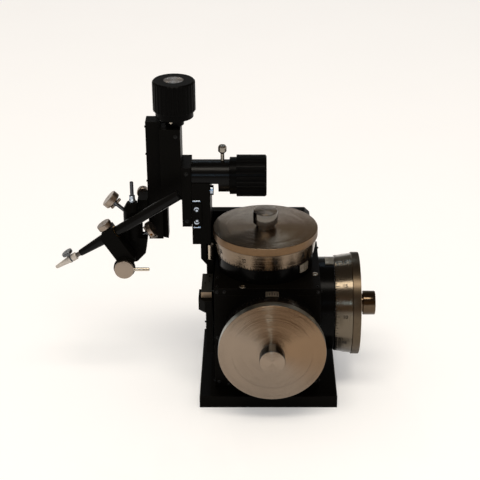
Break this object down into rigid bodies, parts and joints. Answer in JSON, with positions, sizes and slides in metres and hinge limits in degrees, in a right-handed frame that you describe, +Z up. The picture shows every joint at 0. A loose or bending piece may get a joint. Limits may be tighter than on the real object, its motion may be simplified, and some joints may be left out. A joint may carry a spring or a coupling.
{
  "type": "micromanipulator",
  "caption": "Bench micromanipulator with three large graduated dials on a block, coarse slides on a column and a tilting electrode holder.",
  "frame": {"origin": "centre of the base plate's underside", "axes": "+X towards the right-hand dial, +Y away from the front dial, +Z up"},
  "size_m": [0.2462, 0.1368, 0.2405],
  "materials": {
    "black_anodised": "black anodised aluminium, satin",
    "turned_aluminium": "fine turned, satin",
    "bright_steel": "ground",
    "chromed_stud": "bright plated",
    "brass_bush": "turned"
  },
  "bodies": {
    "base": {"base_plate": "black_anodised", "drive_housing": "black_anodised", "front_plate": "black_anodised", "top_plate": "black_anodised", "housing_screws": "bright_steel", "barrel_x": "black_anodised", "barrel_y": "black_anodised", "barrel_z": "black_anodised", "index_plates": "turned_aluminium", "spindle_bushes": "brass_bush", "lever_pivots": "bright_steel"},
    "dial_x_drive": {"dial_x": "turned_aluminium", "dial_knob_x": "turned_aluminium", "spindle_x": "bright_steel"},
    "dial_y_drive": {"dial_y": "turned_aluminium", "dial_knob_y": "turned_aluminium", "spindle_y": "bright_steel"},
    "dial_z_drive": {"dial_z": "turned_aluminium", "dial_knob_z": "turned_aluminium", "spindle_z": "bright_steel"},
    "nut_x_body": {"nut_x": "brass_bush"},
    "nut_y_body": {"nut_y": "brass_bush"},
    "nut_z_body": {"nut_z": "brass_bush"},
    "lever_x_body": {"lever_x": "bright_steel"},
    "lever_y_body": {"lever_y": "bright_steel"},
    "lever_z_body": {"lever_z": "bright_steel"},
    "x_stage": {"x_stage_plate": "black_anodised", "y_guide_rods": "bright_steel"},
    "y_stage": {"y_stage_plate": "black_anodised", "y_stage_bar": "black_anodised", "stop_block": "black_anodised", "spring_sleeve": "chromed_stud"},
    "z_stage": {"z_slider": "black_anodised", "column": "black_anodised", "column_end_plate": "black_anodised", "column_screws": "bright_steel", "coarse_x_tube": "black_anodised"},
    "tube_lock_body": {"tube_lock_screw": "chromed_stud"},
    "coarse_x_drive": {"coarse_x_screw": "bright_steel", "coarse_x_knob": "black_anodised"},
    "coarse_x_slide": {"coarse_x_plunger": "black_anodised", "hanging_plate": "black_anodised", "coarse_z_body": "black_anodised"},
    "coarse_z_drive": {"coarse_z_screw": "bright_steel", "coarse_z_knob": "black_anodised", "knob_inset": "turned_aluminium"},
    "coarse_z_slide": {"carriage": "black_anodised", "clamp_bracket": "black_anodised"},
    "carriage_lock_body": {"carriage_lock": "black_anodised"},
    "swivel_lock_body": {"swivel_lock": "turned_aluminium"},
    "swivel": {"swivel_stud": "chromed_stud", "swivel_body": "black_anodised"},
    "side_lock_body": {"side_lock": "turned_aluminium"},
    "tilt": {"tilt_arm": "black_anodised"},
    "tilt_lock_body": {"tilt_lock": "turned_aluminium"},
    "rod_lock_body": {"rod_lock": "turned_aluminium"},
    "rod_turner": {"rod_bush": "brass_bush"},
    "holder": {"holder_rod": "black_anodised", "chuck": "turned_aluminium"},
    "chuck_screw_body": {"chuck_screw": "turned_aluminium"}
  },
  "joints": [
    {"name": "dial_x_turn", "type": "hinge", "parent": "base", "child": "dial_x_drive", "pos_m": [0.039, 0.00505, 0.0604], "axis": [1, 0, 0], "range_deg": [-2880.3, 2880.3]},
    {"name": "dial_y_turn", "type": "hinge", "parent": "base", "child": "dial_y_drive", "pos_m": [0.00245, -0.0395, 0.0594], "axis": [0, -1, 0], "range_deg": [-2880.3, 2880.3]},
    {"name": "dial_z_turn", "type": "hinge", "parent": "base", "child": "dial_z_drive", "pos_m": [-0.00235, 0.00235, 0.0967], "axis": [0, 0, 1], "range_deg": [-2880.3, 2880.3]},
    {"name": "nut_x_travel", "type": "slide", "parent": "base", "child": "nut_x_body", "axis": [-1, 0, 0], "range_m": [-0.00401, 0.00401]},
    {"name": "nut_y_travel", "type": "slide", "parent": "base", "child": "nut_y_body", "axis": [0, 1, 0], "range_m": [-0.00401, 0.00401]},
    {"name": "nut_z_travel", "type": "slide", "parent": "base", "child": "nut_z_body", "axis": [0, 0, -1], "range_m": [-0.00401, 0.00401]},
    {"name": "lever_x_swing", "type": "hinge", "parent": "base", "child": "lever_x_body", "pos_m": [0.022, 0.021, 0.0354], "axis": [0, -1, 0], "range_deg": [-9.18, 9.18]},
    {"name": "lever_y_swing", "type": "hinge", "parent": "base", "child": "lever_y_body", "pos_m": [-0.0135, -0.0225, 0.0344], "axis": [-1, 0, 0], "range_deg": [-9.18, 9.18]},
    {"name": "lever_z_swing", "type": "hinge", "parent": "base", "child": "lever_z_body", "pos_m": [-0.0183, 0.02735, 0.0797], "axis": [1, 0, 0], "range_deg": [-9.18, 9.18]},
    {"name": "x_stage_travel", "type": "slide", "parent": "base", "child": "x_stage", "axis": [-1, 0, 0], "range_m": [-0.0008, 0.0008]},
    {"name": "y_stage_travel", "type": "slide", "parent": "x_stage", "child": "y_stage", "axis": [0, 1, 0], "range_m": [-0.0008, 0.0008]},
    {"name": "z_stage_travel", "type": "slide", "parent": "y_stage", "child": "z_stage", "axis": [0, 0, -1], "range_m": [-0.0008, 0.0008]},
    {"name": "tube_lock_turn", "type": "hinge", "parent": "z_stage", "child": "tube_lock_body", "pos_m": [-0.0349, 0.0165, 0.183], "axis": [0, 0, 1], "range_deg": [-360, 360]},
    {"name": "coarse_x_turn", "type": "hinge", "parent": "z_stage", "child": "coarse_x_drive", "pos_m": [-0.027, 0.0165, 0.1643], "axis": [1, 0, 0], "range_deg": [-0.6, 5400.6]},
    {"name": "coarse_x_travel", "type": "slide", "parent": "z_stage", "child": "coarse_x_slide", "axis": [-1, 0, 0], "range_m": [0, 0.015]},
    {"name": "coarse_z_turn", "type": "hinge", "parent": "coarse_x_slide", "child": "coarse_z_drive", "pos_m": [-0.0702, 0.0165, 0.212], "axis": [0, 0, 1], "range_deg": [-0.6, 9000.6]},
    {"name": "coarse_z_travel", "type": "slide", "parent": "coarse_x_slide", "child": "coarse_z_slide", "axis": [0, 0, -1], "range_m": [0, 0.025]},
    {"name": "carriage_lock_turn", "type": "hinge", "parent": "coarse_z_slide", "child": "carriage_lock_body", "pos_m": [-0.09686, 0.02, 0.1469], "axis": [0, 1, 0], "range_deg": [-360, 360]},
    {"name": "swivel_lock_turn", "type": "hinge", "parent": "coarse_z_slide", "child": "swivel_lock_body", "pos_m": [-0.10286, 0, 0.1373], "axis": [-0.7478, 0, 0.6639], "range_deg": [-360, 360]},
    {"name": "holder_swivel", "type": "hinge", "parent": "coarse_z_slide", "child": "swivel", "pos_m": [-0.10286, 0, 0.135], "axis": [0, 0, 1], "range_deg": [-40, 8]},
    {"name": "side_lock_turn", "type": "hinge", "parent": "swivel", "child": "side_lock_body", "pos_m": [-0.09926, 0, 0.1201], "axis": [0.8434, 0, 0.5373], "range_deg": [-360, 360]},
    {"name": "holder_tilt", "type": "hinge", "parent": "swivel", "child": "tilt", "pos_m": [-0.1089, -0.013, 0.10418], "axis": [0, -1, 0], "range_deg": [-25, 25]},
    {"name": "tilt_lock_turn", "type": "hinge", "parent": "tilt", "child": "tilt_lock_body", "pos_m": [-0.1089, -0.021, 0.10418], "axis": [0, -1, 0], "range_deg": [-40, 60]},
    {"name": "rod_lock_turn", "type": "hinge", "parent": "tilt", "child": "rod_lock_body", "pos_m": [-0.12254, -0.0133, 0.13545], "axis": [-0.5373, 0, 0.8434], "range_deg": [-360, 360]},
    {"name": "rod_turn", "type": "hinge", "parent": "tilt", "child": "rod_turner", "pos_m": [-0.11942, -0.0133, 0.12795], "axis": [0.8434, 0, 0.5373], "range_deg": [-90, 90]},
    {"name": "rod_travel", "type": "slide", "parent": "rod_turner", "child": "holder", "axis": [-0.8434, 0, -0.5373], "range_m": [-0.005, 0.025]},
    {"name": "chuck_screw_turn", "type": "hinge", "parent": "holder", "child": "chuck_screw_body", "pos_m": [-0.14961, -0.0133, 0.10872], "axis": [-0.5373, 0, 0.8434], "range_deg": [-360, 360]}
  ],
  "couplings": [
    {"joint": "dial_x_turn", "follows": "x_stage_travel", "rad_per_m": 62832},
    {"joint": "nut_x_travel", "follows": "x_stage_travel", "ratio": 5},
    {"joint": "lever_x_swing", "follows": "x_stage_travel", "rad_per_m": 200},
    {"joint": "dial_y_turn", "follows": "y_stage_travel", "rad_per_m": 62832},
    {"joint": "nut_y_travel", "follows": "y_stage_travel", "ratio": 5},
    {"joint": "lever_y_swing", "follows": "y_stage_travel", "rad_per_m": 200},
    {"joint": "dial_z_turn", "follows": "z_stage_travel", "rad_per_m": 62832},
    {"joint": "nut_z_travel", "follows": "z_stage_travel", "ratio": 5},
    {"joint": "lever_z_swing", "follows": "z_stage_travel", "rad_per_m": 200},
    {"joint": "coarse_x_turn", "follows": "coarse_x_travel", "rad_per_m": 6283.2},
    {"joint": "coarse_z_turn", "follows": "coarse_z_travel", "rad_per_m": 6283.2}
  ]
}
